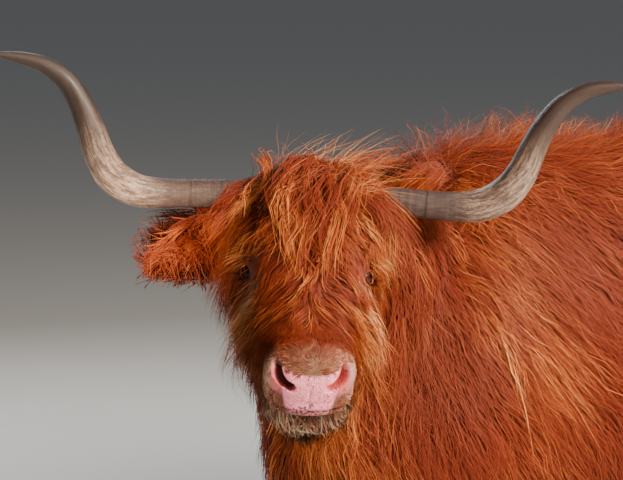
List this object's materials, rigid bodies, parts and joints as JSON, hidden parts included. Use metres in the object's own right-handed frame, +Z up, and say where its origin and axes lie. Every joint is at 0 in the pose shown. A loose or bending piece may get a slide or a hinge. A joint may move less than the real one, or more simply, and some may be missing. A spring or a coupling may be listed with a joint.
{
  "type": "highland cow",
  "caption": "Life-size still model of a shaggy red highland cow, standing with long upswept horns and its head turned to its left.",
  "frame": {"origin": "on the floor, under the middle of the model's box", "axes": "+Z up; the animal's body lies along Y and faces -Y; its left side is +X; its head is turned about 51 degrees to its left"},
  "size_m": [0.854, 2.1842, 1.3919],
  "materials": {
    "coat": "long russet hair with paler tips, in waves and locks",
    "forelock": "long wispy hair, russet with blond ends",
    "horn": "grey-beige horn, fine rings at the base, browner tips, half gloss",
    "hoof": "dark hoof horn with fine rings",
    "eye": "dark brown, wet gloss",
    "udder": "bare pink skin with fine hair"
  },
  "bodies": {
    "root": {"head": "coat", "neck": "coat", "trunk": "coat", "forelock": "forelock", "tail": "coat", "tail_switch": "coat", "udder": "udder", "ear_left": "coat", "eye_left": "eye", "horn_left": "horn", "ear_right": "coat", "eye_right": "eye", "horn_right": "horn", "leg_fore_left": "coat", "shank_fore_left": "coat", "claw_fore_left_inner": "hoof", "dewclaw_fore_left_inner": "hoof", "claw_fore_left_outer": "hoof", "dewclaw_fore_left_outer": "hoof", "leg_fore_right": "coat", "shank_fore_right": "coat", "claw_fore_right_inner": "hoof", "dewclaw_fore_right_inner": "hoof", "claw_fore_right_outer": "hoof", "dewclaw_fore_right_outer": "hoof", "leg_hind_left": "coat", "shank_hind_left": "coat", "claw_hind_left_inner": "hoof", "dewclaw_hind_left_inner": "hoof", "claw_hind_left_outer": "hoof", "dewclaw_hind_left_outer": "hoof", "leg_hind_right": "coat", "shank_hind_right": "coat", "claw_hind_right_inner": "hoof", "dewclaw_hind_right_inner": "hoof", "claw_hind_right_outer": "hoof", "dewclaw_hind_right_outer": "hoof"}
  },
  "joints": []
}
